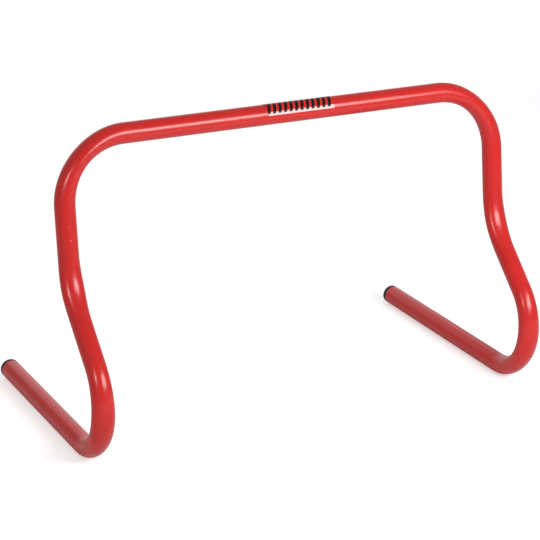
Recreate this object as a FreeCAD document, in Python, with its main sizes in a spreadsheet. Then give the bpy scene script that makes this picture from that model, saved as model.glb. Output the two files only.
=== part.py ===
# Speed hurdle: one plastic tube bent into a bar on two legs, a plug pushed into each foot and a label
# on the bar. Millimetres and degrees. +Z is up, the bar runs along X and the feet point back to +Y.
# The origin is the middle of the footprint, on the floor.
import FreeCAD
import Part
import Sketcher

import os
from math import cos, radians, sin

# Driving sizes. The tube is given like a bending order: straight runs, bend radii on the tube axis and
# how far each run leans from upright. A flattening is how much a bend is squeezed at its middle.
SIZES = {
    "tube_diameter": 20.0,
    "tube_wall": 1.8,
    "bar_run": 338.0,
    "corner_radius": 62.5,
    "corner_flattening": 1.2,
    "upright_run": 44.5,
    "upright_lean": 7.0,
    "knee_radius": 94.0,
    "knee_flattening": 1.1,
    "shin_run": 45.0,
    "shin_lean": 46.6,
    "toe_radius": 54.0,
    "toe_flattening": 1.6,
    "left_foot_run": 198.6,
    "right_foot_run": 217.7,
    "saw_cut_chamfer": 0.4,
    "plug_head_depth": 4.8,
    "plug_head_step": 0.1,
    "plug_head_round": 0.6,
    "plug_core_wall": 1.6,
    "plug_tip_length": 2.4,
    "plug_tip_chamfer": 0.8,
    "rib_count": 4.0,
    "rib_pitch": 3.4,
    "rib_height": 1.95,
    "rib_root_width": 1.6,
    "rib_tip_width": 0.7,
    "rib_clearance": 0.05,
    "label_length": 72.0,
    "label_shift": 12.0,
    "label_lower_edge": 8.0,
    "label_wrap": 122.0,
    "label_corner": 1.0,
    "label_thickness": 0.15,
    "label_glue_line": 0.05,
}

# Sizes that follow from the driving ones. Places along the leg are worked out from the bar axis down to
# the foot; places along a plug are measured from the saw cut of the tube, outwards.
DERIVED = {
    "tube_radius": "tube_diameter / 2",
    "bore_radius": "tube_radius - tube_wall",
    "leg_offset": "bar_run / 2 + corner_radius",
    "bar_height": "tube_radius + toe_radius * (1 + sin(shin_lean)) + shin_run * cos(shin_lean)"
                  " + knee_radius * (sin(shin_lean) - sin(upright_lean))"
                  " + (upright_run + corner_radius) * cos(upright_lean)",
    "foot_start": "toe_radius * cos(shin_lean) - shin_run * sin(shin_lean)"
                  " - knee_radius * (cos(upright_lean) - cos(shin_lean))"
                  " - (upright_run + corner_radius) * sin(upright_lean)",
    "toe_front": "foot_start - toe_radius - tube_radius"
                 " + toe_flattening * sin(180 * 90 / (90 + shin_lean)) ^ 2",
    "heel_back": "foot_start + max(left_foot_run; right_foot_run) + plug_head_depth",
    "bar_setback": "-(toe_front + heel_back) / 2",
    "foot_front": "bar_setback + foot_start",
    "left_foot_end": "foot_front + left_foot_run",
    "right_foot_end": "foot_front + right_foot_run",
    "upright_top_back": "bar_setback - corner_radius * sin(upright_lean)",
    "upright_top_height": "bar_height - corner_radius * cos(upright_lean)",
    "plug_head_radius": "tube_radius - plug_head_step",
    "rib_tip_radius": "bore_radius - rib_clearance",
    "plug_core_radius": "rib_tip_radius - rib_height",
    "plug_hollow_radius": "plug_core_radius - plug_core_wall",
    "plug_tip_radius": "plug_core_radius - plug_tip_chamfer",
    "plug_tip_end": "-(rib_count * rib_pitch + plug_tip_length)",
    "plug_tip_start": "plug_tip_end + plug_tip_chamfer",
    "rib_root_radius": "plug_core_radius - plug_core_wall / 2",
    "rib_root_near": "-rib_pitch + rib_root_width / 2",
    "rib_root_far": "-rib_pitch - rib_root_width / 2",
    "rib_tip_near": "-rib_pitch + rib_tip_width / 2",
    "rib_tip_far": "-rib_pitch - rib_tip_width / 2",
    "rib_row_length": "(rib_count - 1) * rib_pitch",
    "label_inner_radius": "tube_radius + label_glue_line",
    "label_outer_radius": "label_inner_radius + label_thickness",
    "label_front_angle": "180 - label_lower_edge",
    "label_back_angle": "label_front_angle - label_wrap",
}

# Places along a bend, as shares of its arc, where the tube section is drawn.
BEND_STATIONS = (0.0, 0.25, 0.5, 0.75, 1.0)

# Side of the hurdle on which each foot lies, along X.
SIDES = {"left": -1, "right": 1}

# How a sketch numbers the points of a curve, its own axes and its origin.
START, END, CENTRE = range(1, 4)
X_AXIS, Y_AXIS = range(-1, -3, -1)
ORIGIN = (X_AXIS, START)

ZERO = "0"
HALF_TURN = 180
TOLERANCE = 1e-4

doc = FreeCAD.newDocument("speed_hurdle")
sheet = doc.addObject("Spreadsheet::Sheet", "sizes")


def fill_sheet():
    """Write every size on a row of its own, with an alias that the features refer to."""
    rows = [(name, str(value)) for name, value in SIZES.items()]
    rows += [(name, f"={formula}") for name, formula in DERIVED.items()]
    for row, (name, content) in enumerate(rows, start=1):
        sheet.set(f"A{row}", name)
        sheet.set(f"B{row}", content)
        sheet.setAlias(f"B{row}", name)
    doc.recompute()


def size(name):
    """Present value of a cell; a sketch is drawn with it, near the shape its constraints will hold."""
    return float(getattr(sheet, name))


def plane_vector(across, up):
    return FreeCAD.Vector(across, up, 0)


def new_body(label):
    body = doc.addObject("PartDesign::Body", label)
    body.Label = label
    return body


def origin_item(body, role):
    """One of the body's own base planes or axes."""
    return next(item for item in body.Origin.OriginFeatures if item.Role == role)


def new_sketch(body, name, role):
    sketch = body.newObject("Sketcher::SketchObject", name)
    sketch.AttachmentSupport = (origin_item(body, role), "")
    sketch.MapMode = "FlatFace"
    return sketch


def constrain(sketch, kind, *items):
    return sketch.addConstraint(Sketcher.Constraint(kind, *items))


def drive(sketch, formula, value, kind, *items):
    """Add a constraint whose value follows a formula over the sheet; the value given is the present one."""
    index = constrain(sketch, kind, *items, value)
    sketch.setExpression(f"Constraints[{index}]", formula)


def drive_cell(sketch, name, kind, *items):
    drive(sketch, f"sizes.{name}", size(name), kind, *items)


def add_line(sketch, start, end):
    return sketch.addGeometry(Part.LineSegment(plane_vector(*start), plane_vector(*end)), False)


def add_arc(sketch, centre, radius, first, last):
    """Counter-clockwise arc between two directions in degrees."""
    circle = Part.Circle(plane_vector(*centre), FreeCAD.Vector(0, 0, 1), radius)
    return sketch.addGeometry(Part.ArcOfCircle(circle, radians(first), radians(last)), False)


def add_circle(sketch, radius_name):
    circle = Part.Circle(FreeCAD.Vector(), FreeCAD.Vector(0, 0, 1), size(radius_name))
    ring = sketch.addGeometry(circle, False)
    constrain(sketch, "Coincident", ring, CENTRE, *ORIGIN)
    drive_cell(sketch, radius_name, "Radius", ring)


def add_oval(sketch, radius_name, flattening_name, share):
    """Ellipse for a squeezed section: thinner in the plane of the bend and wider across it."""
    squeeze = size(flattening_name) * share
    wide = size(radius_name) + squeeze
    thin = size(radius_name) - squeeze
    ellipse = Part.Ellipse(plane_vector(wide, 0), plane_vector(0, thin), plane_vector(0, 0))
    oval = sketch.addGeometry(ellipse, False)
    sketch.exposeInternalGeometry(oval)
    long_axis = oval + 1
    short_axis = oval + 2
    constrain(sketch, "Coincident", oval, CENTRE, *ORIGIN)
    constrain(sketch, "Horizontal", long_axis)
    for axis, reach, sign in ((long_axis, wide, "+"), (short_axis, thin, "-")):
        formula = f"2 * (sizes.{radius_name} {sign} {share} * sizes.{flattening_name})"
        drive(sketch, formula, 2 * reach, "Distance", axis)


def add_outline(sketch, corners):
    """Closed outline of straight lines; each corner is a pair of cell names, or zero for on the axis."""
    places = [[0.0 if name == ZERO else size(name) for name in corner] for corner in corners]
    lines = [add_line(sketch, start, end) for start, end in zip(places, [*places[1:], places[0]])]
    for line, following in zip(lines, [*lines[1:], lines[0]]):
        constrain(sketch, "Coincident", line, END, following, START)
    for line, corner in zip(lines, corners):
        for name, kind, axis in zip(corner, ("DistanceX", "DistanceY"), (Y_AXIS, X_AXIS)):
            if name == ZERO:
                constrain(sketch, "PointOnObject", line, START, axis)
            else:
                drive_cell(sketch, name, kind, *ORIGIN, line, START)


def draw_corner_path(body):
    """Axis of the right corner, in the plane through the bar that leans with the uprights."""
    sketch = new_sketch(body, "corner_path", "XZ_Plane")
    sketch.AttachmentOffset = FreeCAD.Placement(FreeCAD.Vector(), FreeCAD.Vector(1, 0, 0), 1)
    sketch.setExpression("AttachmentOffset.Base.y", "sizes.bar_height")
    sketch.setExpression("AttachmentOffset.Base.z", "-sizes.bar_setback")
    sketch.setExpression("AttachmentOffset.Rotation.Angle", "-sizes.upright_lean")
    radius = size("corner_radius")
    bar_end = size("bar_run") / 2
    arc = add_arc(sketch, (bar_end, -radius), radius, 0, 90)
    drive_cell(sketch, "corner_radius", "Radius", arc)
    drive_cell(sketch, "corner_radius", "DistanceY", arc, CENTRE, *ORIGIN)
    drive(sketch, "sizes.bar_run / 2", bar_end, "DistanceX", *ORIGIN, arc, CENTRE)
    constrain(sketch, "Horizontal", arc, CENTRE, arc, START)
    constrain(sketch, "Vertical", arc, CENTRE, arc, END)
    return sketch


def draw_leg_path(body):
    """Axis of the right leg below its corner: upright, knee, shin and toe, each tangent to the next."""
    sketch = new_sketch(body, "leg_path", "YZ_Plane")
    sketch.setExpression("AttachmentOffset.Base.z", "sizes.leg_offset")
    lean = radians(size("upright_lean"))
    slope = radians(size("shin_lean"))
    upright_run = size("upright_run")
    shin_run = size("shin_run")
    knee = size("knee_radius")
    toe = size("toe_radius")
    upright_top = (size("upright_top_back"), size("upright_top_height"))
    knee_top = (upright_top[0] - upright_run * sin(lean), upright_top[1] - upright_run * cos(lean))
    knee_centre = (knee_top[0] - knee * cos(lean), knee_top[1] + knee * sin(lean))
    shin_top = (knee_centre[0] + knee * cos(slope), knee_centre[1] - knee * sin(slope))
    shin_end = (shin_top[0] - shin_run * sin(slope), shin_top[1] - shin_run * cos(slope))
    toe_centre = (shin_end[0] + toe * cos(slope), shin_end[1] - toe * sin(slope))

    upright = add_line(sketch, knee_top, upright_top)
    knee_arc = add_arc(sketch, knee_centre, knee, -size("shin_lean"), -size("upright_lean"))
    shin = add_line(sketch, shin_end, shin_top)
    toe_arc = add_arc(sketch, toe_centre, toe, HALF_TURN - size("shin_lean"), 1.5 * HALF_TURN)
    constrain(sketch, "Tangent", knee_arc, END, upright, START)
    constrain(sketch, "Tangent", knee_arc, START, shin, END)
    constrain(sketch, "Tangent", toe_arc, START, shin, START)
    constrain(sketch, "Vertical", toe_arc, CENTRE, toe_arc, END)
    drive_cell(sketch, "upright_top_back", "DistanceX", *ORIGIN, upright, END)
    drive_cell(sketch, "upright_top_height", "DistanceY", *ORIGIN, upright, END)
    drive(sketch, "90 - sizes.upright_lean", radians(90) - lean, "Angle", upright)
    drive(sketch, "90 - sizes.shin_lean", radians(90) - slope, "Angle", shin)
    drive_cell(sketch, "knee_radius", "Radius", knee_arc)
    drive_cell(sketch, "toe_radius", "Radius", toe_arc)
    drive_cell(sketch, "upright_run", "Distance", upright)
    drive_cell(sketch, "shin_run", "Distance", shin)
    return sketch


def bend_edges(path):
    """Names of the arcs in a path, from the lowest up."""
    arcs = [(edge.CenterOfMass.z, f"Edge{number}") for number, edge in enumerate(path.Shape.Edges, start=1)
            if edge.Curve.TypeId == "Part::GeomCircle"]
    return [name for _, name in sorted(arcs)]


def draw_ring(body, name, path, edge, station, flattening_name):
    """Tube section square to a bend's axis; the squeeze grows smoothly from both ends to the middle."""
    sketch = body.newObject("Sketcher::SketchObject", name)
    sketch.AttachmentSupport = (path, edge)
    sketch.MapMode = "FrenetNB"
    sketch.MapPathParameter = station
    sketch.AttachmentOffset = FreeCAD.Placement(FreeCAD.Vector(), FreeCAD.Vector(0, 0, 1), 90)
    share = round(sin(radians(HALF_TURN * station)) ** 2, 6)
    for radius_name in ("tube_radius", "bore_radius"):
        if share:
            add_oval(sketch, radius_name, flattening_name, share)
        else:
            add_circle(sketch, radius_name)
    return sketch


def sweep_bend(body, name, path, edge):
    """Hollow bend through five sections; returns it with the round section at the start of its arc."""
    rings = [draw_ring(body, f"{name}_ring_{number}", path, edge, station, f"{name}_flattening")
             for number, station in enumerate(BEND_STATIONS)]
    doc.recompute()
    bend = body.newObject("PartDesign::AdditivePipe", f"{name}_bend")
    bend.Profile = rings[0]
    bend.Spine = (path, [edge])
    bend.Mode = "Frenet"
    bend.Transformation = "Multisection"
    bend.Sections = [(ring, [""]) for ring in rings[1:]]
    doc.recompute()
    return bend, rings[0]


def pad_run(body, name, ring):
    """Straight run of tube that carries on from a round section."""
    run = body.newObject("PartDesign::Pad", name)
    run.Profile = ring
    run.setExpression("Length", f"sizes.{name}")
    doc.recompute()
    return run


def is_rim(edge, place, radius):
    """True for a circle of that radius, square to Y, at that place along Y."""
    if edge.Curve.TypeId != "Part::GeomCircle" or abs(edge.Curve.Radius - radius) > TOLERANCE:
        return False
    return abs(edge.BoundBox.YMin - place) < TOLERANCE and abs(edge.BoundBox.YMax - place) < TOLERANCE


def pad_foot(body, side):
    """Straight foot behind a toe, deburred at the saw cut; the two feet are cut to different lengths."""
    section = new_sketch(body, f"{side}_foot_section", "XZ_Plane")
    section.setExpression("AttachmentOffset.Base.x", f"{SIDES[side]} * sizes.leg_offset")
    section.setExpression("AttachmentOffset.Base.y", "sizes.tube_radius")
    section.setExpression("AttachmentOffset.Base.z", "-sizes.foot_front")
    add_circle(section, "tube_radius")
    add_circle(section, "bore_radius")
    doc.recompute()
    foot = pad_run(body, f"{side}_foot_run", section)
    foot.Reversed = True
    doc.recompute()
    rims = [f"Edge{number}" for number, edge in enumerate(foot.Shape.Edges, start=1)
            if is_rim(edge, size(f"{side}_foot_end"), size("tube_radius"))]
    deburred = body.newObject("PartDesign::Chamfer", f"{side}_saw_cut")
    deburred.Base = (foot, rims)
    deburred.setExpression("Size", "sizes.saw_cut_chamfer")
    doc.recompute()
    return deburred


def make_tube():
    """The bar, the right leg bend by bend, that leg mirrored to the left, and a foot on each."""
    body = new_body("frame_tube")
    section = new_sketch(body, "bar_section", "YZ_Plane")
    section.setExpression("AttachmentOffset.Base.x", "sizes.bar_setback")
    section.setExpression("AttachmentOffset.Base.y", "sizes.bar_height")
    add_circle(section, "tube_radius")
    add_circle(section, "bore_radius")
    bar = pad_run(body, "bar_run", section)
    bar.SideType = "Symmetric"

    corner_path = draw_corner_path(body)
    leg_path = draw_leg_path(body)
    doc.recompute()
    corner_edge = bend_edges(corner_path)[0]
    toe_edge, knee_edge = bend_edges(leg_path)
    corner, corner_low_ring = sweep_bend(body, "corner", corner_path, corner_edge)
    upright = pad_run(body, "upright_run", corner_low_ring)
    knee, knee_low_ring = sweep_bend(body, "knee", leg_path, knee_edge)
    shin = pad_run(body, "shin_run", knee_low_ring)
    toe, _ = sweep_bend(body, "toe", leg_path, toe_edge)

    left_leg = body.newObject("PartDesign::Mirrored", "left_leg")
    left_leg.Originals = [corner, upright, knee, shin, toe]
    left_leg.MirrorPlane = (origin_item(body, "YZ_Plane"), [""])
    body.Tip = left_leg
    doc.recompute()
    for side in SIDES:
        body.Tip = pad_foot(body, side)
    return body


def revolve(body, name, corners):
    """Turn an outline about the plug's axis, which runs along Y."""
    sketch = new_sketch(body, f"{name}_profile", "YZ_Plane")
    add_outline(sketch, corners)
    doc.recompute()
    turned = body.newObject("PartDesign::Revolution", name)
    turned.Profile = sketch
    turned.ReferenceAxis = (sketch, ["H_Axis"])
    turned.Angle = 2 * HALF_TURN
    doc.recompute()
    return turned


def make_plug(side):
    """Push-in plug: a rounded head on the saw cut, a hollow core in the bore and a row of gripping ribs."""
    label = f"{side}_end_plug"
    body = new_body(label)
    core = revolve(body, f"{label}_core", [
        ("plug_head_depth", ZERO),
        ("plug_head_depth", "plug_head_radius"),
        (ZERO, "plug_head_radius"),
        (ZERO, "plug_core_radius"),
        ("plug_tip_start", "plug_core_radius"),
        ("plug_tip_end", "plug_tip_radius"),
        ("plug_tip_end", "plug_hollow_radius"),
        (ZERO, "plug_hollow_radius"),
        (ZERO, ZERO),
    ])
    rims = [f"Edge{number}" for number, edge in enumerate(core.Shape.Edges, start=1)
            if is_rim(edge, size("plug_head_depth"), size("plug_head_radius"))]
    head_round = body.newObject("PartDesign::Fillet", f"{label}_round")
    head_round.Base = (core, rims)
    head_round.setExpression("Radius", "sizes.plug_head_round")
    doc.recompute()
    rib = revolve(body, f"{label}_rib", [
        ("rib_root_near", "rib_root_radius"),
        ("rib_tip_near", "rib_tip_radius"),
        ("rib_tip_far", "rib_tip_radius"),
        ("rib_root_far", "rib_root_radius"),
    ])
    ribs = body.newObject("PartDesign::LinearPattern", f"{label}_ribs")
    ribs.Originals = [rib]
    ribs.Direction = (origin_item(body, "Y_Axis"), [""])
    ribs.Reversed = True
    ribs.setExpression("Length", "sizes.rib_row_length")
    ribs.setExpression("Occurrences", "sizes.rib_count")
    body.Tip = ribs
    body.setExpression("Placement.Base.x", f"{SIDES[side]} * sizes.leg_offset")
    body.setExpression("Placement.Base.y", f"sizes.{side}_foot_end")
    body.setExpression("Placement.Base.z", "sizes.tube_radius")
    doc.recompute()
    return body


def make_label():
    """Thin printed film that wraps the front and top of the bar, with rounded corners."""
    body = new_body("bar_label")
    sketch = new_sketch(body, "label_section", "YZ_Plane")
    angles = (size("label_back_angle"), size("label_front_angle"))
    radii = (size("label_inner_radius"), size("label_outer_radius"))
    inner, outer = [add_arc(sketch, (0, 0), radius, *angles) for radius in radii]
    for arc, name in ((inner, "label_inner_radius"), (outer, "label_outer_radius")):
        constrain(sketch, "Coincident", arc, CENTRE, *ORIGIN)
        drive_cell(sketch, name, "Radius", arc)
    for end, name in ((START, "label_back_angle"), (END, "label_front_angle")):
        angle = radians(size(name))
        start_place, end_place = [(radius * cos(angle), radius * sin(angle)) for radius in radii]
        edge = add_line(sketch, start_place, end_place)
        constrain(sketch, "Coincident", edge, START, inner, end)
        constrain(sketch, "Coincident", edge, END, outer, end)
        constrain(sketch, "PointOnObject", *ORIGIN, edge)
        drive(sketch, f"sizes.{name}", angle, "Angle", edge)
    film = body.newObject("PartDesign::Pad", "label_film")
    film.Profile = sketch
    film.SideType = "Symmetric"
    film.setExpression("Length", "sizes.label_length")
    doc.recompute()
    corners = [f"Edge{number}" for number, edge in enumerate(film.Shape.Edges, start=1)
               if abs(edge.Length - size("label_thickness")) < TOLERANCE]
    rounded = body.newObject("PartDesign::Fillet", "label_corners")
    rounded.Base = (film, corners)
    rounded.setExpression("Radius", "sizes.label_corner")
    body.Tip = rounded
    body.setExpression("Placement.Base.x", "sizes.label_shift")
    body.setExpression("Placement.Base.y", "sizes.bar_setback")
    body.setExpression("Placement.Base.z", "sizes.bar_height")
    doc.recompute()
    return body


def check_document():
    for item in doc.Objects:
        if "Invalid" in item.State or "Error" in item.State:
            raise RuntimeError(f"{item.Name} did not recompute: {item.State}")


def write_part(body):
    shape = body.Shape
    if shape.isNull() or not shape.isValid() or len(shape.Solids) != 1:
        raise RuntimeError(f"{body.Label} is not one valid solid")
    box = shape.optimalBoundingBox()
    print(f"{body.Label}: {shape.Volume:.0f} mm3, {box.XLength:.2f} x {box.YLength:.2f} x {box.ZLength:.2f} mm")
    shape.exportStep(f"parts/{body.Label}.step")


fill_sheet()
parts = [make_tube(), *[make_plug(side) for side in SIDES], make_label()]
check_document()
os.makedirs("parts", exist_ok=True)
for part in parts:
    write_part(part)
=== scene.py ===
# %% [markdown]
# # A speed hurdle, dressed over its CAD frame
# The hurdle is one red plastic tube bent six times, a black plug in each foot and a label on the bar.
# The imported CAD model is loaded first, because every piece made here has to sit where it says. Its box
# is kept, because it says where the feet end.

# %% Load the frame
from collections import namedtuple
from math import cos, degrees, pi, radians, sin

import bmesh
import bpy
import numpy as np
from mathutils import Matrix, Vector


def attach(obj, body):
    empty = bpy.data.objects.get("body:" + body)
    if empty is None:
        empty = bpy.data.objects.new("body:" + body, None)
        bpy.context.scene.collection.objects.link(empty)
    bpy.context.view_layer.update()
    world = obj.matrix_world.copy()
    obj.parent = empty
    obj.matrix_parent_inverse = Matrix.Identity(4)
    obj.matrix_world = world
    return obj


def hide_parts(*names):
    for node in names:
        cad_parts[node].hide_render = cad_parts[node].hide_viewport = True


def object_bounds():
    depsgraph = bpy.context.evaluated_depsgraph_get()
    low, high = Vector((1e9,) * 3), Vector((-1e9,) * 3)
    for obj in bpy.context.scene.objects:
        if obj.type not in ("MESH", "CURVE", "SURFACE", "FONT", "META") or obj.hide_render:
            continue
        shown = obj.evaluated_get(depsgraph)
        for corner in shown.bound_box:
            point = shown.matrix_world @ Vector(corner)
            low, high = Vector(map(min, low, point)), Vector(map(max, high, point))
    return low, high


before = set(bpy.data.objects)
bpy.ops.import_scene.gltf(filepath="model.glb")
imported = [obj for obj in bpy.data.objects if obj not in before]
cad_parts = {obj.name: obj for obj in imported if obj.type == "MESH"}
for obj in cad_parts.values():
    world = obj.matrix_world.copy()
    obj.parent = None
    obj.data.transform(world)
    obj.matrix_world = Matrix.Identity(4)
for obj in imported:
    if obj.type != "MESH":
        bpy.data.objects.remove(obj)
cad_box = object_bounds()
bpy.context.scene.view_settings.view_transform = "Standard"
print("CAD nodes:", ", ".join(sorted(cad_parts)))
print("CAD box in metres:", [round(side, 4) for side in cad_box[1] - cad_box[0]])

# %% [markdown]
# ## The bending order
# A tube bender works from a list: so much straight run, then a bend of that radius and angle, and so on.
# The tube could be drawn as a Blender curve with a round bevel, but a bevel stays round, and a real tube
# is squeezed a little at the middle of each bend. So the list itself is kept here, and a pen walks it.

# %% Write down the bends and runs
MM = 0.001
UPRIGHT_LEAN, SHIN_LEAN = radians(7.0), radians(46.6)

Bend = namedtuple("Bend", "radius turn squeeze")
CORNER = Bend(62.5 * MM, radians(90), 1.2 * MM)
KNEE = Bend(94 * MM, SHIN_LEAN - UPRIGHT_LEAN, 1.1 * MM)
TOE = Bend(54 * MM, radians(90) + SHIN_LEAN, 1.6 * MM)

BAR_RUN, UPRIGHT_RUN, SHIN_RUN = 338 * MM, 44.5 * MM, 45 * MM
LEFT_FOOT_RUN, RIGHT_FOOT_RUN = 198.6 * MM, 217.7 * MM

ACROSS = Vector((1, 0, 0))
LEANING = Vector((0, cos(UPRIGHT_LEAN), -sin(UPRIGHT_LEAN)))

# From the end of the left foot to the end of the right one; a bend comes with the axis it turns about.
BENDING_ORDER = [
    LEFT_FOOT_RUN, (TOE, -ACROSS), SHIN_RUN, (KNEE, ACROSS), UPRIGHT_RUN, (CORNER, LEANING),
    BAR_RUN,
    (CORNER, LEANING), UPRIGHT_RUN, (KNEE, -ACROSS), SHIN_RUN, (TOE, ACROSS), RIGHT_FOOT_RUN,
]
print("Bends in the order:", sum(isinstance(item, tuple) for item in BENDING_ORDER))

# %% [markdown]
# ## Moving the pen
# The pen is a 4 x 4 matrix whose Z axis points along the tube. On a run it slides forward. In a bend it
# swings about the bend's centre, which carries its other two axes round without any twist. Every few
# millimetres it leaves a section: where it is, how far along, and how hard the tube is squeezed there.

# %% Slide along a run and swing round a bend
Section = namedtuple("Section", "pen along squeeze inward across")
RUN_STEP, BEND_STEP = 9 * MM, 2.6 * MM


def slide_run(pen, along, length):
    steps = max(1, round(length / RUN_STEP))
    for step in range(1, steps + 1):
        moved = Matrix.Translation(pen.col[2].xyz * length * step / steps) @ pen
        yield Section(moved, along + length * step / steps, 0.0, Vector(), Vector())


def swing_bend(pen, along, bend, axis):
    inward = axis.cross(pen.col[2].xyz)
    centre = Matrix.Translation(pen.translation + bend.radius * inward)
    length = bend.radius * bend.turn
    steps = round(length / BEND_STEP)
    for step in range(1, steps + 1):
        swing = Matrix.Rotation(bend.turn * step / steps, 4, axis)
        squeeze = bend.squeeze * sin(pi * step / steps) ** 2
        yield Section(centre @ swing @ centre.inverted() @ pen, along + length * step / steps, squeeze,
                      swing.to_3x3() @ inward, axis)


print(f"a section every {RUN_STEP / MM:.0f} mm or so on a run, every {BEND_STEP / MM:.1f} mm in a bend")

# %% [markdown]
# ## Walking the order
# The walk starts at the end of the left foot, facing the front, and each item of the order takes the pen on
# from where the last one left it. The CAD box says where that end is, because its back is the face of the
# right plug and the two feet differ only in length.

# %% Walk from the left foot to the right one
TUBE_RADIUS, PLUG_HEAD_DEPTH = 10 * MM, 4.8 * MM


def walk_order(pen):
    sections = [Section(pen, 0.0, 0.0, Vector(), Vector())]
    for item in BENDING_ORDER:
        last = sections[-1]
        if isinstance(item, tuple):
            sections += swing_bend(last.pen, last.along, *item)
        else:
            sections += slide_run(last.pen, last.along, item)
    return sections


leg_offset = BAR_RUN / 2 + CORNER.radius
right_foot_end = cad_box[1][1] - PLUG_HEAD_DEPTH
left_foot_end = right_foot_end - (RIGHT_FOOT_RUN - LEFT_FOOT_RUN)
facing_front = Matrix.Rotation(pi / 2, 4, "X")
first_pen = Matrix.Translation((-leg_offset, left_foot_end, TUBE_RADIUS)) @ facing_front
sections = walk_order(first_pen)
print(f"{len(sections)} sections along {sections[-1].along:.3f} m of tube")
print("right foot ends at", [round(part, 4) for part in sections[-1].pen.translation])

# %% [markdown]
# ## Rings along the tube
# The real tube is extruded, cut with a saw, deburred and bent warm. At each section a ring of points is
# drawn, outside and in the bore. In a bend the ring is narrowed towards the bend's centre and widened
# across it by as much, which is what squeezing does to a tube. At the saw cuts the outer ring is drawn in
# a little, for the deburred edge.

# %% Choose the rings
RING_POINTS = 64
BORE_RADIUS, SAW_CHAMFER = 8.2 * MM, 0.4 * MM
ring_angles = [2 * pi * step / RING_POINTS for step in range(RING_POINTS)]


def draw_ring(section, radius):
    """Points round one section; the squeeze takes from the plane of the bend and gives across it."""
    turn = section.pen.to_3x3()
    points = []
    for angle in ring_angles:
        out = turn @ Vector((cos(angle), sin(angle), 0))
        spread = section.across * out.dot(section.across) - section.inward * out.dot(section.inward)
        points.append(section.pen.translation + radius * out + section.squeeze * spread)
    return points


def deburr(sections):
    """The outside as pairs of section and radius, with the edges of the two saw cuts bevelled."""
    first, last = sections[0], sections[-1]
    forward = Matrix.Translation((0, 0, SAW_CHAMFER))
    inside_first = first._replace(pen=first.pen @ forward, along=SAW_CHAMFER)
    inside_last = last._replace(pen=last.pen @ forward.inverted(), along=last.along - SAW_CHAMFER)
    rim = TUBE_RADIUS - SAW_CHAMFER
    full = [(section, TUBE_RADIUS) for section in [inside_first, *sections[1:-1], inside_last]]
    return [(first, rim), *full, (last, rim)]


outside = deburr(sections)
bore = [(section, BORE_RADIUS) for section in reversed(sections)]
print(f"{len(outside)} rings outside, {len(bore)} in the bore, of {RING_POINTS} points each")

# %% [markdown]
# ## From a mesh to a piece
# Each mesh of the hurdle stands in for one node of the CAD model and rides on the model's only body. It is
# shaded smooth, but the edges where its faces meet steeply stay sharp, as at a saw cut or the foot of a
# rib. A mesh can also keep a place for each of its points, where a pattern on it is to be drawn.

# %% Make a piece of a mesh
SHARP_ANGLE = radians(32)


def new_piece(name, mesh, node):
    """Link a finished mesh as a piece of the object in place of a CAD node."""
    mesh.shade_smooth()
    mesh.set_sharp_from_angle(angle=SHARP_ANGLE)
    piece = bpy.data.objects.new(name, mesh)
    bpy.context.collection.objects.link(piece)
    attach(piece, "root")
    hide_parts(node)
    print(f"{name}: {len(mesh.vertices)} points, {len(mesh.polygons)} faces")
    return piece


def store_places(mesh, name, places):
    attribute = mesh.attributes.new(name, "FLOAT_VECTOR", "POINT")
    attribute.data.foreach_set("vector", np.array(places, np.float32).ravel())


print(f"edges steeper than {degrees(SHARP_ANGLE):.0f} degrees stay sharp")

# %% [markdown]
# ## The tube
# The rings are joined by quads into one closed skin, out along the tube and back through the bore, so the
# wall has its real thickness. Each point also keeps the place it had on the straight tube, before any
# bending: patterns that run along the tube are drawn in those places later.

# %% Skin the tube
skin = outside + bore
points, places, faces = [], [], []
for number, (section, radius) in enumerate(skin):
    points += draw_ring(section, radius)
    places += [(radius * cos(angle), radius * sin(angle), section.along) for angle in ring_angles]
    here, following = number * RING_POINTS, (number + 1) % len(skin) * RING_POINTS
    for side in range(RING_POINTS):
        beside = (side + 1) % RING_POINTS
        faces.append((here + side, here + beside, following + beside, following + side))
tube_mesh = bpy.data.meshes.new("bent_tube")
tube_mesh.from_pydata(points, [], faces)
store_places(tube_mesh, "unbent", places)
tube = new_piece("bent_tube", tube_mesh, "frame_tube")

# %% [markdown]
# ## Half a plug
# Each foot is closed by a push-in plug, moulded in black plastic: a shallow rounded head that covers the
# saw cut, and a hollow core with ribs that grip the bore. Anything moulded round needs only half its
# outline, drawn here from the middle of the head to the middle of the hollow. The head is slightly dished
# and keeps the dimple where the plastic entered the mould, with a low collar round it.

# %% Draw half a plug, in millimetres
HEAD_DEPTH, HEAD_RADIUS, HEAD_ROUND, ROUND_STEPS = PLUG_HEAD_DEPTH / MM, 9.9, 0.6, 8
CORE_RADIUS, SHANK_LENGTH, TIP_CHAMFER = 6.2, 16.0, 0.8
HOLLOW_RADIUS, HOLLOW_CHAMFER = 4.6, 0.6
RIB_COUNT, RIB_PITCH, RIB_RADIUS, RIB_ROOT, RIB_TIP = 4, 3.4, 8.15, 1.6, 0.7

# From the middle of the face outwards, each point as depth below the rim of the head and radius.
GATE_DIMPLE = [(0.4, 0.0), (0.4, 0.7), (0.28, 0.95), (0.08, 1.15), (0.08, 1.5), (0.2, 1.8)]
FACE_DISH = [(0.2, 6.6), (0.14, 7.1), (0.04, 7.5)]


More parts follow.
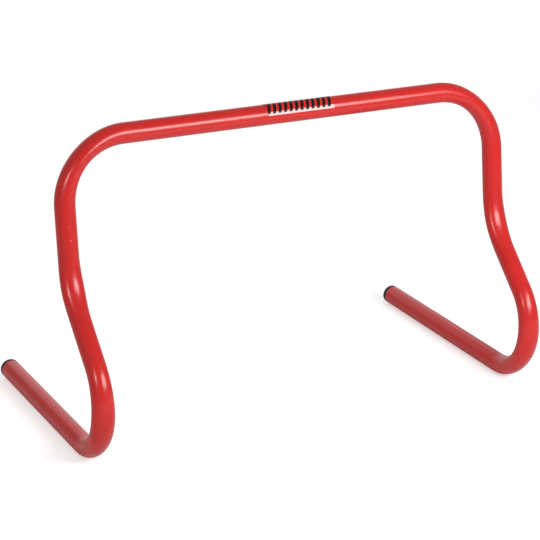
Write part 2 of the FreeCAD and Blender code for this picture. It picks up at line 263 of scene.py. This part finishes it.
def plug_outline():
    """Half outline as pairs of distance outwards from the saw cut and radius."""
    face = [(HEAD_DEPTH - sunk, radius) for sunk, radius in GATE_DIMPLE + FACE_DISH]
    corner = [(HEAD_DEPTH - HEAD_ROUND * (1 - sin(angle)), HEAD_RADIUS - HEAD_ROUND * (1 - cos(angle)))
              for angle in np.linspace(pi / 2, 0, ROUND_STEPS + 1)]
    shank = [(0.0, HEAD_RADIUS), (0.0, CORE_RADIUS)]
    for rib in range(1, RIB_COUNT + 1):
        middle = -rib * RIB_PITCH
        shank += [(middle + RIB_ROOT / 2, CORE_RADIUS), (middle + RIB_TIP / 2, RIB_RADIUS),
                  (middle - RIB_TIP / 2, RIB_RADIUS), (middle - RIB_ROOT / 2, CORE_RADIUS)]
    tip = [(TIP_CHAMFER - SHANK_LENGTH, CORE_RADIUS), (-SHANK_LENGTH, CORE_RADIUS - TIP_CHAMFER)]
    hollow = [(-SHANK_LENGTH, HOLLOW_RADIUS), (-HOLLOW_CHAMFER, HOLLOW_RADIUS),
              (0.0, HOLLOW_RADIUS - HOLLOW_CHAMFER), (0.0, 0.0)]
    return face + corner + shank + tip + hollow


half_plug = plug_outline()
print(f"{len(half_plug)} points in half a plug")

# %% [markdown]
# ## Turning the plugs
# The half outline is spun once round the foot's axis, as on a lathe. A Screw modifier could do that too;
# the spin of a bmesh is used because its seam and its two middle points can be welded at once, which
# leaves a closed mesh. Both plugs come from the one outline, each at the end of its own foot.

# %% Turn the plugs
PLUG_TURN_STEPS = 64
WELD_DISTANCE = 0.001 * MM


def turn_plug(name, node, place):
    shape = bmesh.new()
    rim = [shape.verts.new((0, along * MM, radius * MM)) for along, radius in half_plug]
    edges = [shape.edges.new(pair) for pair in zip(rim, rim[1:])]
    bmesh.ops.spin(shape, geom=rim + edges, axis=(0, 1, 0), cent=(0, 0, 0), angle=2 * pi,
                   steps=PLUG_TURN_STEPS, use_merge=True)
    bmesh.ops.remove_doubles(shape, verts=shape.verts, dist=WELD_DISTANCE)
    bmesh.ops.recalc_face_normals(shape, faces=shape.faces)
    bmesh.ops.translate(shape, verts=shape.verts, vec=place)
    mesh = bpy.data.meshes.new(name)
    shape.to_mesh(mesh)
    shape.free()
    return new_piece(name, mesh, node)


left_end, right_end = sections[0].pen.translation, sections[-1].pen.translation
plugs = [turn_plug("left_foot_plug", "left_end_plug", left_end),
         turn_plug("right_foot_plug", "right_end_plug", right_end)]

# %% [markdown]
# ## Marking out the label
# A thin printed film is wrapped over the front and top of the bar. It is cut as a rectangle with rounded
# corners. Here it is a small grid, with extra rows near both long edges, so that shortening those rows
# rounds the corners smoothly.

# %% Mark out the rows of the film
LABEL_LENGTH, LABEL_WRAP = 72 * MM, radians(122)
LABEL_THICKNESS, GLUE_THICKNESS, LABEL_CORNER = 0.15 * MM, 0.05 * MM, 1.0 * MM
LABEL_COLUMNS, LABEL_ROWS, CORNER_ROWS = 36, 40, 6

label_radius = TUBE_RADIUS + GLUE_THICKNESS + LABEL_THICKNESS
label_width = label_radius * LABEL_WRAP
corner_angles = np.linspace(0, pi / 2, CORNER_ROWS, endpoint=False)
corner_rows = [LABEL_CORNER * (1 - cos(angle)) for angle in corner_angles]
plain_rows = list(np.linspace(LABEL_CORNER, label_width - LABEL_CORNER, LABEL_ROWS))
label_rows = corner_rows + plain_rows + [label_width - row for row in reversed(corner_rows)]
print(f"film {LABEL_LENGTH / MM:.0f} x {label_width / MM:.1f} mm in {len(label_rows)} rows")

# %% [markdown]
# ## The label
# The grid is bent round the bar's axis, from just above its front to past its top, and a Solidify modifier
# gives it the thickness of the film. Each point keeps its place on the flat film, because the print is
# laid out flat.

# %% Wrap the label
LABEL_MIDDLE, LABEL_LOWER_EDGE = 12 * MM, radians(8)

# The bar is level and the highest part of the tube, so any of the highest sections lies on its axis.
bar_axis = max(sections, key=lambda section: section.pen.translation.z).pen.translation
points, places, faces = [], [], []
for row in label_rows:
    short = max(0.0, LABEL_CORNER - min(row, label_width - row))
    half = LABEL_LENGTH / 2 - LABEL_CORNER + (LABEL_CORNER ** 2 - short ** 2) ** 0.5
    angle = LABEL_LOWER_EDGE + row / label_radius
    for along in np.linspace(-half, half, LABEL_COLUMNS + 1):
        points.append((LABEL_MIDDLE + along, bar_axis.y - label_radius * cos(angle),
                       bar_axis.z + label_radius * sin(angle)))
        places.append((along, row - label_width / 2, 0))
for row in range(len(label_rows) - 1):
    for column in range(LABEL_COLUMNS):
        near = row * (LABEL_COLUMNS + 1) + column
        far = near + LABEL_COLUMNS + 1
        faces.append((near, near + 1, far + 1, far))
label_mesh = bpy.data.meshes.new("bar_film")
label_mesh.from_pydata(points, [], faces)
store_places(label_mesh, "film_place", places)
label = new_piece("bar_film", label_mesh, "bar_label")
film = label.modifiers.new("film thickness", "SOLIDIFY")
film.thickness, film.offset = LABEL_THICKNESS, -1

# %% [markdown]
# ## Colours and nodes
# Colours are read off as sRGB, the way a paint program shows them, while Blender's shaders add up light,
# so each is turned to linear first. Materials are made of many small nodes; one helper adds a node with
# its settings, and links it where a value is the output of another node.

# %% Helpers for materials
def linear(colour):
    """Linear RGBA of a colour written as sRGB hex."""
    channels = [int(colour[place:place + 2], 16) / 255 for place in (1, 3, 5)]
    return [c / 12.92 if c <= 0.04045 else ((c + 0.055) / 1.055) ** 2.4 for c in channels] + [1.0]


def add_node(tree, kind, inputs=None, **settings):
    node = tree.nodes.new(f"ShaderNode{kind}")
    for name, value in settings.items():
        setattr(node, name, value)
    for socket, value in (inputs or {}).items():
        if isinstance(value, bpy.types.NodeSocket):
            tree.links.new(value, node.inputs[socket])
        else:
            node.inputs[socket].default_value = value
    return node


def new_material(name):
    material = bpy.data.materials.new(name)
    material.use_nodes = True
    material.node_tree.nodes.clear()
    return material, material.node_tree


# A Mix node has several sockets of one name; these are the ones that it uses for colours.
MIX_FACTOR, MIX_A, MIX_B, MIX_RESULT = 0, 6, 7, 2
print("white in linear light:", linear("#FFFFFF"))

# %% [markdown]
# ## Marks of making on the tube
# Rigid PVC leaves the extruder's die with faint lines along the tube, the cooling bath adds a slight
# orange-peel, and the pigment lies in broad clouds that are a shade deeper. Noise draws all three, on the
# unbent tube, so that they follow every bend. Real die lines are about 0.2 mm apart and the peel about
# 2 mm wide; both would be too fine to show here, so they are drawn coarser.

# %% Draw die lines, peel and clouds
DIE_LINE_SPACING, DIE_LINE_LENGTH = 1.6 * MM, 400 * MM
PEEL_SIZE, CLOUD_SIZE = 5 * MM, 45 * MM

pvc, tree = new_material("extruded_red_pvc")
unbent = add_node(tree, "Attribute", attribute_name="unbent").outputs["Vector"]
along_tube = (1 / DIE_LINE_SPACING, 1 / DIE_LINE_SPACING, 1 / DIE_LINE_LENGTH)
stretched = add_node(tree, "Mapping", {"Vector": unbent, "Scale": along_tube})
die_lines = add_node(tree, "TexNoise", {"Vector": stretched.outputs[0], "Scale": 1.0, "Detail": 2.0})
peel = add_node(tree, "TexNoise", {"Vector": unbent, "Scale": 1 / PEEL_SIZE, "Detail": 1.0})
clouds = add_node(tree, "TexNoise", {"Vector": unbent, "Scale": 1 / CLOUD_SIZE, "Detail": 3.0})
print(f"die lines {DIE_LINE_SPACING / MM:.1f} mm apart, peel {PEEL_SIZE / MM:.0f} mm wide")

# %% [markdown]
# ## Nicks in the tube
# Two small pale nicks sit on the left upright. A nick could be a dent in the mesh, but at under a
# millimetre it shows only as a pale spot. So it is drawn as the surface near one point of the unbent tube,
# with noise added to the distance to make its edge ragged.

# %% Draw the nicks
NICKS = [(452.7, -90), (465.8, -95)]  # millimetres along the tube and degrees round it
NICK_SIZE, NICK_STRENGTH = 0.9 * MM, 0.7
NICK_CORE, NICK_EDGE = 0.8 * NICK_SIZE, 1.1 * NICK_SIZE

nick_grain = add_node(tree, "TexNoise", {"Vector": unbent, "Scale": 1 / NICK_SIZE, "Detail": 2.0})
nicks = []
for along, turn in NICKS:
    place = (TUBE_RADIUS * cos(radians(turn)), TUBE_RADIUS * sin(radians(turn)), along * MM)
    away = add_node(tree, "VectorMath", {0: unbent, 1: place}, operation="DISTANCE")
    ragged = add_node(tree, "Math", {
        0: nick_grain.outputs["Fac"], 1: NICK_SIZE, 2: away.outputs["Value"]}, operation="MULTIPLY_ADD")
    nicks.append(add_node(tree, "MapRange", {
        "Value": ragged.outputs[0], "From Min": NICK_CORE, "From Max": NICK_EDGE,
        "To Min": NICK_STRENGTH, "To Max": 0.0}))
nicked = add_node(tree, "Math", {0: nicks[0].outputs[0], 1: nicks[1].outputs[0]}, operation="MAXIMUM")
print(f"{len(NICKS)} nicks of about {NICK_SIZE / MM:.1f} mm")

# %% [markdown]
# ## Scuffs under the feet
# The floor has scuffed the undersides of the feet and toes. Scuffs are patches of noise in a low band above
# the floor, so they are drawn where the tube lies now and not on the unbent tube: that way they need no
# list of places, and can only be where the tube touches the floor.

# %% Draw the scuffs
SCUFF_SIZE, SCUFF_HEIGHT, SCUFF_STRENGTH = 3 * MM, 1.2 * MM, 0.7
SCUFF_FROM, SCUFF_FULL = 0.45, 0.62

in_place = add_node(tree, "TexCoord").outputs["Object"]
height = add_node(tree, "SeparateXYZ", {"Vector": in_place}).outputs["Z"]
floor_band = add_node(tree, "MapRange", {
    "Value": height, "From Min": 0.0, "From Max": SCUFF_HEIGHT, "To Min": 1.0, "To Max": 0.0})
scuff_grain = add_node(tree, "TexNoise", {"Vector": in_place, "Scale": 1 / SCUFF_SIZE, "Detail": 5.0})
scuff_patches = add_node(tree, "MapRange", {
    "Value": scuff_grain.outputs["Fac"], "From Min": SCUFF_FROM, "From Max": SCUFF_FULL,
    "To Max": SCUFF_STRENGTH})
scuffs = add_node(tree, "Math", {
    0: floor_band.outputs[0], 1: scuff_patches.outputs[0]}, operation="MULTIPLY")
print(f"scuffs up to {SCUFF_HEIGHT / MM:.1f} mm above the floor")

# %% [markdown]
# ## Colour of the tube
# Rigid PVC is coloured all through, here in a saturated red. Scraped PVC turns pale, because the rough spot
# scatters light. The colour is built up in layers, each laid over the last where its pattern says: the
# deeper clouds, the scuffs and the nicks.

# %% Layer the colour
TUBE_RED, TUBE_RED_DEEP, SCUFF_PINK, NICK_PALE = "#CB1B16", "#C41813", "#D0564F", "#F0A9A2"
CLOUD_LOW, CLOUD_HIGH = 0.3, 0.7

cloud_share = add_node(tree, "MapRange", {
    "Value": clouds.outputs["Fac"], "From Min": CLOUD_LOW, "From Max": CLOUD_HIGH})
tube_colour = linear(TUBE_RED)
for share, layer in ((cloud_share, TUBE_RED_DEEP), (scuffs, SCUFF_PINK), (nicked, NICK_PALE)):
    mixed = add_node(tree, "Mix", {
        MIX_FACTOR: share.outputs[0], MIX_A: tube_colour, MIX_B: linear(layer)}, data_type="RGBA")
    tube_colour = mixed.outputs[MIX_RESULT]
print("tube colour", TUBE_RED, "with clouds of", TUBE_RED_DEEP)

# %% [markdown]
# ## Extruded PVC for the tube
# The tube leaves the die with a satin gloss, which gives a clear but soft-edged highlight. The die lines
# vary that gloss a little, and scuffs are duller. Lines and peel are far too shallow to be worth modelling,
# so they are added as bump, one on top of the other.

# %% Mix the PVC
PVC_IOR, SATIN_SMOOTH, SATIN_ROUGH, SCUFF_ROUGHER = 1.53, 0.24, 0.27, 0.3
LINE_DEPTH, PEEL_DEPTH, TUBE_BUMP = 0.006 * MM, 0.03 * MM, 0.35
LINE_LOW, LINE_HIGH = 0.25, 0.75

line_gloss = add_node(tree, "MapRange", {
    "Value": die_lines.outputs["Fac"], "From Min": LINE_LOW, "From Max": LINE_HIGH,
    "To Min": SATIN_SMOOTH, "To Max": SATIN_ROUGH})
gloss = add_node(tree, "Math", {
    0: scuffs.outputs[0], 1: SCUFF_ROUGHER, 2: line_gloss.outputs[0]}, operation="MULTIPLY_ADD")
line_bump = add_node(tree, "Bump", {
    "Height": die_lines.outputs["Fac"], "Strength": TUBE_BUMP, "Distance": LINE_DEPTH})
peel_bump = add_node(tree, "Bump", {
    "Height": peel.outputs["Fac"], "Normal": line_bump.outputs[0], "Strength": TUBE_BUMP,
    "Distance": PEEL_DEPTH})
shader = add_node(tree, "BsdfPrincipled", {
    "Base Color": tube_colour, "Roughness": gloss.outputs[0], "IOR": PVC_IOR,
    "Normal": peel_bump.outputs[0]})
add_node(tree, "OutputMaterial", {"Surface": shader.outputs[0]})
tube.data.materials.append(pvc)
print(f"{pvc.name}: {len(tree.nodes)} nodes")

# %% [markdown]
# ## Moulded polyethylene for the plugs
# Soft black polyethylene takes the fine spark-eroded grain of its mould, so it looks semi-matt: a very dark
# grey with hardly any highlight. Handling rubs the grain smoother in small patches and leaves a little
# dust. The grain's pits shade each other, which is why the plugs reflect less than smooth plastic. Real
# grain is about 0.05 mm; it would not show here, so it is drawn coarser.

# %% Mix the polyethylene
PLUG_BLACK, PLUG_DUST = "#0F0E0F", "#2A2828"
SPARK_GRAIN, GRAIN_DEPTH, GRAIN_BUMP = 0.35 * MM, 0.05 * MM, 0.4
RUB_SIZE, RUB_LOW, RUB_HIGH = 4 * MM, 0.35, 0.65
DUST_FROM, DUST_FULL, DUST_STRENGTH = 0.5, 0.75, 0.35
PLUG_IOR, PLUG_SPECULAR, RUB_ROUGHNESS, GRAIN_ROUGHNESS = 1.51, 0.25, 0.42, 0.58

polyethylene, tree = new_material("moulded_black_polyethylene")
in_place = add_node(tree, "TexCoord").outputs["Object"]
grain = add_node(tree, "TexNoise", {"Vector": in_place, "Scale": 1 / SPARK_GRAIN, "Detail": 2.0})
rubs = add_node(tree, "TexNoise", {"Vector": in_place, "Scale": 1 / RUB_SIZE, "Detail": 4.0})
rub_gloss = add_node(tree, "MapRange", {
    "Value": rubs.outputs["Fac"], "From Min": RUB_LOW, "From Max": RUB_HIGH,
    "To Min": RUB_ROUGHNESS, "To Max": GRAIN_ROUGHNESS})
dust = add_node(tree, "MapRange", {
    "Value": rubs.outputs["Fac"], "From Min": DUST_FROM, "From Max": DUST_FULL, "To Max": DUST_STRENGTH})
dusty_black = add_node(tree, "Mix", {
    MIX_FACTOR: dust.outputs[0], MIX_A: linear(PLUG_BLACK), MIX_B: linear(PLUG_DUST)}, data_type="RGBA")
grain_bump = add_node(tree, "Bump", {
    "Height": grain.outputs["Fac"], "Strength": GRAIN_BUMP, "Distance": GRAIN_DEPTH})
shader = add_node(tree, "BsdfPrincipled", {
    "Base Color": dusty_black.outputs[MIX_RESULT], "Roughness": rub_gloss.outputs[0], "IOR": PLUG_IOR,
    "Specular IOR Level": PLUG_SPECULAR, "Normal": grain_bump.outputs[0]})
add_node(tree, "OutputMaterial", {"Surface": shader.outputs[0]})
for plug in plugs:
    plug.data.materials.append(polyethylene)
print(f"{polyethylene.name}: {len(tree.nodes)} nodes")

# %% [markdown]
# ## Laying out the print
# The label is screen-printed in two inks: a red ground close to the tube's own colour, which leaves a white
# margin along both long edges, and black. The black is a plain row of slanted bars, whose ends stand on the
# white. The print could be an image, but a few comparisons of the place on the film draw it sharp at any
# size. Ink edges are slightly ragged, so each place is first shaken by noise; real ink is ragged by less
# than a tenth of a millimetre, which would not show, so it is drawn coarser.

# %% Lay out the ground and the bars
MARGIN, BAR_END = 3.5 * MM, 1.9 * MM
BAR_COUNT, BAR_PITCH, BAR_WIDTH, BAR_SLANT = 12, 5.9 * MM, 3.4 * MM, 0.3
INK_RAGGED, INK_GRAIN = 0.25 * MM, 0.9 * MM
NOISE_MIDDLE = (0.5, 0.5, 0.5)

vinyl, tree = new_material("screen_printed_vinyl")
film_place = add_node(tree, "Attribute", attribute_name="film_place").outputs["Vector"]
shake = add_node(tree, "TexNoise", {"Vector": film_place, "Scale": 1 / INK_GRAIN, "Detail": 2.0})
centred = add_node(tree, "VectorMath", {0: shake.outputs["Color"], 1: NOISE_MIDDLE}, operation="SUBTRACT")
printed = add_node(tree, "VectorMath", {
    0: centred.outputs[0], 1: (INK_RAGGED,) * 3, 2: film_place}, operation="MULTIPLY_ADD")
spot = add_node(tree, "SeparateXYZ", {"Vector": printed.outputs[0]})
off_middle = add_node(tree, "Math", {0: spot.outputs["Y"]}, operation="ABSOLUTE")
on_ground = add_node(tree, "Math", {
    0: off_middle.outputs[0], 1: label_width / 2 - MARGIN}, operation="LESS_THAN")
in_row = add_node(tree, "Math", {
    0: off_middle.outputs[0], 1: label_width / 2 - BAR_END}, operation="LESS_THAN")
slanted = add_node(tree, "Math", {
    0: spot.outputs["Y"], 1: -BAR_SLANT, 2: spot.outputs["X"]}, operation="MULTIPLY_ADD")
off_centre = add_node(tree, "Math", {0: slanted.outputs[0]}, operation="ABSOLUTE")
within = add_node(tree, "Math", {
    0: off_centre.outputs[0], 1: BAR_COUNT * BAR_PITCH / 2}, operation="LESS_THAN")
from_gap = add_node(tree, "Math", {0: slanted.outputs[0], 1: BAR_PITCH / 2}, operation="PINGPONG")
on_bar = add_node(tree, "Math", {
    0: from_gap.outputs[0], 1: (BAR_PITCH - BAR_WIDTH) / 2}, operation="GREATER_THAN")
bar_in_row = add_node(tree, "Math", {0: on_bar.outputs[0], 1: in_row.outputs[0]}, operation="MULTIPLY")
black = add_node(tree, "Math", {0: bar_in_row.outputs[0], 1: within.outputs[0]}, operation="MULTIPLY")
print(f"{BAR_COUNT} bars, one every {BAR_PITCH / MM:.1f} mm")

# %% [markdown]
# ## Screen-printed vinyl for the label
# The film is soft white vinyl, matt-coated to take ink. It is so thin that some of the tube's red comes
# through, and the white looks faintly pink. A matt coat breaks up part of the reflection, so its level is
# lowered. The black ink is a little duller than the film and stands on it as a thin raised layer.

# %% Mix the vinyl
FILM_WHITE, INK_RED, INK_BLACK = "#DEC2C1", "#D02A26", "#1A0504"
VINYL_IOR, FILM_SPECULAR, FILM_ROUGHNESS, INK_ROUGHNESS = 1.52, 0.2, 0.3, 0.42
INK_THICKNESS, INK_BUMP = 0.02 * MM, 0.3

label_colour = linear(FILM_WHITE)
for share, ink in ((on_ground, INK_RED), (black, INK_BLACK)):
    mixed = add_node(tree, "Mix", {
        MIX_FACTOR: share.outputs[0], MIX_A: label_colour, MIX_B: linear(ink)}, data_type="RGBA")
    label_colour = mixed.outputs[MIX_RESULT]
ink_gloss = add_node(tree, "MapRange", {
    "Value": black.outputs[0], "To Min": FILM_ROUGHNESS, "To Max": INK_ROUGHNESS})
ink_bump = add_node(tree, "Bump", {
    "Height": black.outputs[0], "Strength": INK_BUMP, "Distance": INK_THICKNESS})
shader = add_node(tree, "BsdfPrincipled", {
    "Base Color": label_colour, "Roughness": ink_gloss.outputs[0], "IOR": VINYL_IOR,
    "Specular IOR Level": FILM_SPECULAR, "Normal": ink_bump.outputs[0]})
add_node(tree, "OutputMaterial", {"Surface": shader.outputs[0]})
label.data.materials.append(vinyl)
print(f"{vinyl.name}: {len(tree.nodes)} nodes")

# %% [markdown]
# ## Floor
# The hurdle stands on a large sheet of white paper, wide enough to catch its shadow and to throw light
# back up at it from all round. It belongs to the picture and not to the object.

# %% Lay the paper
PAPER_LEFT, PAPER_RIGHT, PAPER_FRONT, PAPER_BACK = -1.1, 1.1, -1.2, 1.0

paper_mesh = bpy.data.meshes.new("paper_floor")
paper_mesh.from_pydata([(PAPER_LEFT, PAPER_FRONT, 0), (PAPER_RIGHT, PAPER_FRONT, 0),
                        (PAPER_RIGHT, PAPER_BACK, 0), (PAPER_LEFT, PAPER_BACK, 0)], [], [(0, 1, 2, 3)])
paper_floor = bpy.data.objects.new("paper_floor", paper_mesh)
bpy.context.collection.objects.link(paper_floor)
print(f"paper {PAPER_RIGHT - PAPER_LEFT:.1f} x {PAPER_BACK - PAPER_FRONT:.1f} m")

# %% [markdown]
# ## White paper
# The camera should see plain white round the object, but more light would bleach the red. So the paper has
# a glow that camera and glass rays see, and mirror rays see more faintly: its own shading, and so the
# shadow, stays. Towards its edges the camera sees it fade to plain white, so that no border shows.

# %% Whiten the paper
PAPER_WHITE, PAPER_GLOW, MIRROR_SHARE, FADE_WIDTH = "#E8E8E8", 0.52, 0.06, 0.6

paper, tree = new_material("white_paper")
rays = add_node(tree, "LightPath")
seen = add_node(tree, "Math", {0: rays.outputs["Is Camera Ray"], 1: rays.outputs["Is Transmission Ray"]})
shown = add_node(tree, "Math", {
    0: rays.outputs["Is Glossy Ray"], 1: MIRROR_SHARE, 2: seen.outputs[0]}, operation="MULTIPLY_ADD")
glow = add_node(tree, "Math", {0: shown.outputs[0], 1: PAPER_GLOW}, operation="MULTIPLY")
matt = add_node(tree, "BsdfDiffuse", {"Color": linear(PAPER_WHITE)})
faint = add_node(tree, "Emission", {"Strength": glow.outputs[0]})
lit = add_node(tree, "AddShader", {0: matt.outputs[0], 1: faint.outputs[0]})

spot = add_node(tree, "SeparateXYZ", {"Vector": add_node(tree, "TexCoord").outputs["Object"]})
margins = []
for axis, low, high in (("X", PAPER_LEFT, PAPER_RIGHT), ("Y", PAPER_FRONT, PAPER_BACK)):
    off_middle = add_node(tree, "Math", {0: spot.outputs[axis], 1: (low + high) / 2}, operation="SUBTRACT")
    reach = add_node(tree, "Math", {0: off_middle.outputs[0]}, operation="ABSOLUTE")
    margins.append(add_node(tree, "MapRange", {
        "Value": reach.outputs[0], "From Min": (high - low) / 2 - FADE_WIDTH, "From Max": (high - low) / 2},
        interpolation_type="SMOOTHSTEP"))
edge = add_node(tree, "Math", {0: margins[0].outputs[0], 1: margins[1].outputs[0]}, operation="MAXIMUM")
fade = add_node(tree, "Math", {0: edge.outputs[0], 1: seen.outputs[0]}, operation="MULTIPLY")
white = add_node(tree, "Emission", {"Strength": 1.0})
paper_shader = add_node(tree, "MixShader", {0: fade.outputs[0], 1: lit.outputs[0], 2: white.outputs[0]})
add_node(tree, "OutputMaterial", {"Surface": paper_shader.outputs[0]})
paper_mesh.materials.append(paper)
print(f"{paper.name}: {len(tree.nodes)} nodes")

# %% [markdown]
# ## Room
# Round the paper is a dim, even room, which fills the shadows a little. The camera and glass rays see it
# plain white, and mirror rays see a small share of that white.

# %% Dim the room
ROOM_LIGHT = 0.38

room = bpy.data.worlds.new("dim_room")
room.use_nodes = True
tree = room.node_tree
tree.nodes.clear()
rays = add_node(tree, "LightPath")
seen = add_node(tree, "Math", {0: rays.outputs["Is Camera Ray"], 1: rays.outputs["Is Transmission Ray"]})
shown = add_node(tree, "Math", {
    0: rays.outputs["Is Glossy Ray"], 1: MIRROR_SHARE, 2: seen.outputs[0]}, operation="MULTIPLY_ADD")
level = add_node(tree, "Math", {
    0: shown.outputs[0], 1: 1 - ROOM_LIGHT, 2: ROOM_LIGHT}, operation="MULTIPLY_ADD")
backdrop = add_node(tree, "Background", {"Color": linear("#FFFFFF"), "Strength": level.outputs[0]})
add_node(tree, "OutputWorld", {"Surface": backdrop.outputs[0]})
bpy.context.scene.world = room
print("room light", ROOM_LIGHT)

# %% [markdown]
# ## Lamps
# A softbox in front, to the right, draws the long pale line along the bar. A smaller one further away on
# the left draws the line on the left corner, and a second line on the knees and toes. Behind the hurdle
# stands a large dim card, whose reflection gives the feet their pale haze.

# %% Set up the lamps
Softbox = namedtuple("Softbox", "name place width height power")
LAMP_AIM = Vector((0.0, -0.04, 0.15))
SOFTBOXES = [
    Softbox("front_softbox", (0.30, -0.92, 0.60), 0.65, 0.36, 7.8),
    Softbox("left_softbox", (-1.30, -0.85, 0.80), 0.26, 0.24, 4.2),
    Softbox("back_card", (0.20, 0.90, 0.38), 1.20, 0.70, 1.5),
]
for box in SOFTBOXES:
    lamp = bpy.data.lights.new(box.name, "AREA")
    lamp.shape, lamp.size, lamp.size_y, lamp.energy = "RECTANGLE", box.width, box.height, box.power
    stand = bpy.data.objects.new(box.name, lamp)
    stand.location = box.place
    stand.rotation_euler = (LAMP_AIM - Vector(box.place)).to_track_quat("-Z", "Y").to_euler()
    bpy.context.collection.objects.link(stand)
print("lamps:", ", ".join(box.name for box in SOFTBOXES))

# %% [markdown]
# ## Camera
# The picture was taken with a long lens from the front, left of the middle and a little above. The place,
# aim and lens were worked out so that the outline of the tube falls where it does in the picture. The
# camera's own axes are its right, its up and the way back from what it looks at.

# %% Place the camera
CAMERA_PLACE = Vector((-0.85121, -1.69635, 0.81438))
CAMERA_RIGHT = Vector((0.893832, -0.448336, 0.0076938))
CAMERA_AHEAD = Vector((0.42354, 0.838516, -0.342791))
LENS, SENSOR = 133.553, 36.0

camera = bpy.data.objects.new("camera", bpy.data.cameras.new("camera"))
axes = Matrix((CAMERA_RIGHT, CAMERA_RIGHT.cross(CAMERA_AHEAD), -CAMERA_AHEAD)).transposed()
camera.matrix_world = Matrix.Translation(CAMERA_PLACE) @ axes.to_4x4()
camera.data.lens, camera.data.sensor_width = LENS, SENSOR
bpy.context.collection.objects.link(camera)
bpy.context.scene.camera = camera
print("camera at", [round(part, 3) for part in camera.location], "with a lens of", LENS, "mm")
